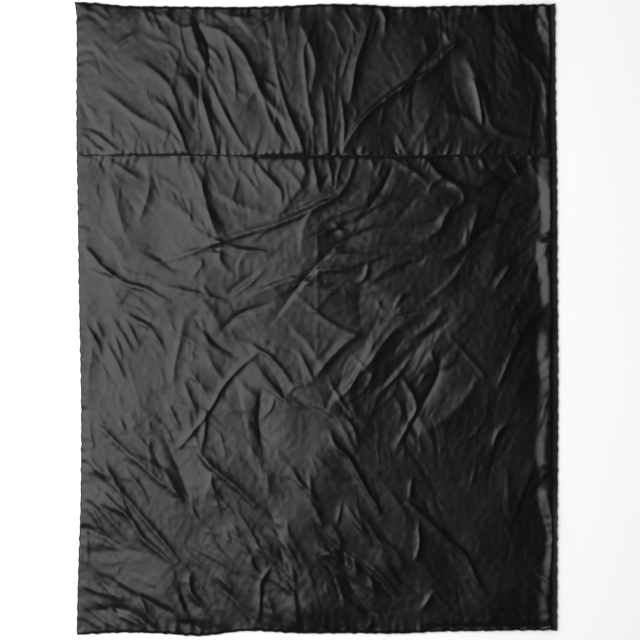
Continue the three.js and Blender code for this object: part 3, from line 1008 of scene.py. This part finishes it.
# A colour between dark and light, by a factor that runs from low to high.
def mixedColour(tree, factor, dark, light, low=0.0, high=1.0):
    ramp = addNode(tree, "ValToRGB", {"Fac": factor})
    for end, at, colour in zip(ramp.color_ramp.elements, (low, high), (dark, light)):
        end.position = at
        end.color = (*colour, 1)
    return ramp.outputs["Color"]


# Plain-weave cloth: two crossed sets of threads as bump, soft crumpling under them,
# and slow changes of colour and gloss.
def clothMaterial(name, look):
    material, tree, shader, place = startMaterial(name)
    cloth = addNode(tree, "UVMap", uv_map="cloth").outputs["UV"]
    blotch = addNode(tree, "TexNoise", {"Vector": place, "Scale": 7.0, "Detail": 4.0})
    gloss = addNode(tree, "TexNoise", {"Vector": place, "Scale": 16.0, "Detail": 5.0})
    span = addNode(tree, "MapRange", {"Value": gloss.outputs["Fac"], "From Min": 0.3, "From Max": 0.7,
                                      "To Min": look["gloss"][0], "To Max": look["gloss"][1]})
    warp, weft = (addNode(tree, "TexWave", {"Vector": cloth, "Scale": look["weave"], "Distortion": 0.6,
                                            "Detail": 1.0}, bands_direction=way) for way in "XY")
    weave = addNode(tree, "Math", {0: warp.outputs["Fac"], 1: weft.outputs["Fac"]}, operation="MULTIPLY")
    crumple = addNode(tree, "TexNoise", {"Vector": place, "Scale": 85.0, "Detail": 6.0,
                                         "Roughness": 0.6, "Distortion": 0.8})
    soft = addNode(tree, "Bump", {"Height": crumple.outputs["Fac"], "Strength": look["crumple"],
                                  "Distance": 0.004})
    fine = addNode(tree, "Bump", {"Height": weave.outputs["Value"], "Normal": soft.outputs["Normal"],
                                  "Strength": look["weaveDepth"], "Distance": 0.0002})
    colour = mixedColour(tree, blotch.outputs["Fac"], look["dark"], look["light"], 0.35, 0.65)
    setInputs(shader, {"Base Color": colour, "Roughness": span.outputs["Result"],
                       "Normal": fine.outputs["Normal"], "Specular IOR Level": look["specular"],
                       "Sheen Weight": look["sheen"], "Sheen Roughness": 0.4,
                       "Sheen Tint": (0.75, 0.78, 0.8, 1)})
    return material


# Wadding: a tangle of fibres as colour and bump.
def fluffMaterial(name):
    material, tree, shader, place = startMaterial(name)
    fibres = addNode(tree, "TexNoise", {"Vector": place, "Scale": 160.0, "Detail": 8.0,
                                        "Distortion": 2.0}).outputs["Fac"]
    bump = addNode(tree, "Bump", {"Height": fibres, "Strength": 0.7, "Distance": 0.002})
    colour = mixedColour(tree, fibres, (0.62, 0.62, 0.60), (0.88, 0.88, 0.86))
    setInputs(shader, {"Base Color": colour, "Normal": bump.outputs["Normal"], "Roughness": 0.95})
    return material


# Sewing thread: slanting waves as its twist.
def threadMaterial(name):
    material, tree, shader, place = startMaterial(name)
    twist = addNode(tree, "TexWave", {"Vector": place, "Scale": 900.0, "Distortion": 1.0},
                    bands_direction="DIAGONAL").outputs["Fac"]
    bump = addNode(tree, "Bump", {"Height": twist, "Strength": 0.5, "Distance": 0.0002})
    colour = mixedColour(tree, twist, (0.006, 0.006, 0.007), (0.020, 0.020, 0.022))
    setInputs(shader, {"Base Color": colour, "Normal": bump.outputs["Normal"], "Roughness": 0.65})
    return material


shellLook = {
    "dark": (0.0011, 0.0011, 0.00115), "light": (0.0018, 0.0018, 0.0019), "gloss": (0.285, 0.315),
    "weave": 520.0, "weaveDepth": 0.05, "crumple": 0.02, "specular": 0.27, "sheen": 0.0,
}
liningLook = {
    "dark": (0.008, 0.008, 0.0085), "light": (0.0115, 0.0115, 0.012), "gloss": (0.44, 0.54),
    "weave": 520.0, "weaveDepth": 0.2, "crumple": 0.12, "specular": 0.5, "sheen": 0.06,
}
shellCloth = clothMaterial("blackTaffeta", shellLook)
liningCloth = clothMaterial("blackLining", liningLook)
whiteFill = fluffMaterial("whiteWadding")
blackThread = threadMaterial("blackThread")


# Gives a finished piece its cloth and its body, and hides the CAD nodes it stands for.
def dress(piece, material, slot, *nodes):
    piece.data.materials.append(material)
    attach(piece, "root")
    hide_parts(*nodes)


# The pieces
net = settledCloth()
topMain, mainSurface = upperSkin("topMainPanel", net, -halfLength, seamY)
topHead, headSurface = upperSkin("topHeadPanel", net, seamY, halfLength)
say("upper skin made")
lowMain = lowerSkin("undersideMainPanel", -halfLength, seamY)
lowHead = lowerSkin("undersideHeadPanel", seamY, halfLength)
fillMain = fillSheet("fillMainSheet", mainSurface)
fillHead = fillSheet("fillHeadSheet", headSurface)
say("lower skin and fill made")
for piece, node in ((topMain, "top_main_panel"), (topHead, "top_head_panel")):
    dress(piece, shellCloth, "shell_cloth", node)
for piece, node in ((lowMain, "underside_main_panel"), (lowHead, "underside_head_panel")):
    dress(piece, liningCloth, "lining_cloth", node)
for piece, node in ((fillMain, "fill_main"), (fillHead, "fill_head")):
    dress(piece, whiteFill, "polyester_fill", node)

# Each thread: its path, its stitches' pitch and radius, and how far they arch
reach = halfWidth - stitch["fromSide"]
inner = halfWidth - stitch["innerFromSide"]
outerSize = stitch["pitch"], stitch["radius"]
closingSize = stitch["pitch"] * stitch["closingPitch"], stitch["radius"] * stitch["closingRadius"]
innerSize = stitch["innerPitch"], stitch["innerRadius"]
closingLine = closingLow.x, closingHigh.x, closingY
layers = {"top": lambda x: seamTop(x) - stitch["topJoinUnder"],
          "underside": stitch["undersideJoinHeight"]}
threads = {
    "quilting_needle": (straightPath(-reach, reach, seamY, lambda x: seamTop(x) + stitch["proud"]),
                        *outerSize, stitch["arch"]),
    "quilting_bobbin": (straightPath(-reach, reach, seamY, stitch["bobbinHeight"]),
                        *outerSize, -stitch["arch"]),
    "closing_needle": (straightPath(*closingLine, relief["closingHeight"] + stitch["closingProud"]),
                       *closingSize, stitch["arch"]),
    "closing_bobbin": (straightPath(*closingLine, stitch["bobbinHeight"]),
                       *closingSize, -stitch["arch"]),
}
for layer, z in layers.items():
    for kind, side in (("needle", 1), ("bobbin", -1)):
        path = straightPath(-inner, inner, seamY + side * stitch["joinApart"], z)
        threads[f"{layer}_join_{kind}"] = (path, *innerSize, stitch["innerArch"])
for kind, side in (("needle", 1), ("bobbin", -1)):
    path = outlinePath(stitch["edgeInset"], quilt["edgeHeight"] + side * stitch["edgeApart"])
    threads[f"edge_seam_{kind}"] = (path, *innerSize, side * stitch["innerArch"])
for name, values in threads.items():
    words = name.split("_") + ["thread"]
    piece = stitchRow(words[0] + "".join(word.capitalize() for word in words[1:]), *values)
    dress(piece, blackThread, "seam_thread", "_".join(words))
say("threads made")

# Floor, light and camera
studio = {
    "floorSize": 14.0, "floorHeight": -0.0003, "floorDark": 0.92, "floorLight": 0.95,
    "lampPlace": (-2.4, 0.10, 4.3), "lampAim": (0.1, 0, 0), "lampSize": (3.15, 4.6), "lampPower": 300.0,
    # the room: pale walls all round, and a dark ceiling over the camera
    "sideLight": 0.58, "topLight": 0.012, "wallTop": 0.45, "ceilingEdge": 0.95,
    "roomColour": (1, 0.995, 0.98, 1),
    "cameraPlace": (0.011, -0.004, 8.0), "frameWidth": 1.99,
}


def makeFloor():
    half, low = studio["floorSize"] / 2, studio["floorHeight"]
    corners = np.array([[-half, -half, low], [half, -half, low], [half, half, low], [-half, half, low]])
    floor = faceMesh("floor", corners, np.array([[0, 1, 2, 3]]))
    paper, tree, shader, place = startMaterial("palePaper")
    grain = addNode(tree, "TexNoise", {"Vector": place, "Scale": 3.0}).outputs["Fac"]
    greys = [(value, value, value) for value in (studio["floorDark"], studio["floorLight"])]
    setInputs(shader, {"Base Color": mixedColour(tree, grain, *greys), "Roughness": 0.9})
    floor.data.materials.append(paper)


def makeLight():
    lamp = bpy.data.lights.new("softbox", "AREA")
    lamp.shape = "RECTANGLE"
    lamp.size, lamp.size_y = studio["lampSize"]
    lamp.energy = studio["lampPower"]
    softbox = bpy.data.objects.new("softbox", lamp)
    softbox.location = studio["lampPlace"]
    towards = Vector(studio["lampAim"]) - softbox.location
    softbox.rotation_euler = towards.to_track_quat("-Z", "Y").to_euler()
    bpy.context.scene.collection.objects.link(softbox)
    world = bpy.data.worlds.new("studio")
    world.use_nodes = True
    room = world.node_tree
    upward = addNode(room, "SeparateXYZ", {0: addNode(room, "TexCoord").outputs["Generated"]})
    shade = addNode(room, "MapRange", {
        "Value": upward.outputs["Z"], "From Min": studio["wallTop"], "From Max": studio["ceilingEdge"],
        "To Min": studio["sideLight"], "To Max": studio["topLight"]})
    setInputs(room.nodes["Background"], {"Strength": shade.outputs["Result"],
                                         "Color": studio["roomColour"]})
    bpy.context.scene.world = world


def makeCamera():
    lens = bpy.data.cameras.new("camera")
    lens.angle = 2 * math.atan(studio["frameWidth"] / 2 / studio["cameraPlace"][2])
    camera = bpy.data.objects.new("camera", lens)
    camera.location = studio["cameraPlace"]
    bpy.context.scene.collection.objects.link(camera)
    bpy.context.scene.camera = camera
    bpy.context.scene.view_settings.view_transform = "Standard"


makeFloor()
makeLight()
makeCamera()
say("studio made")
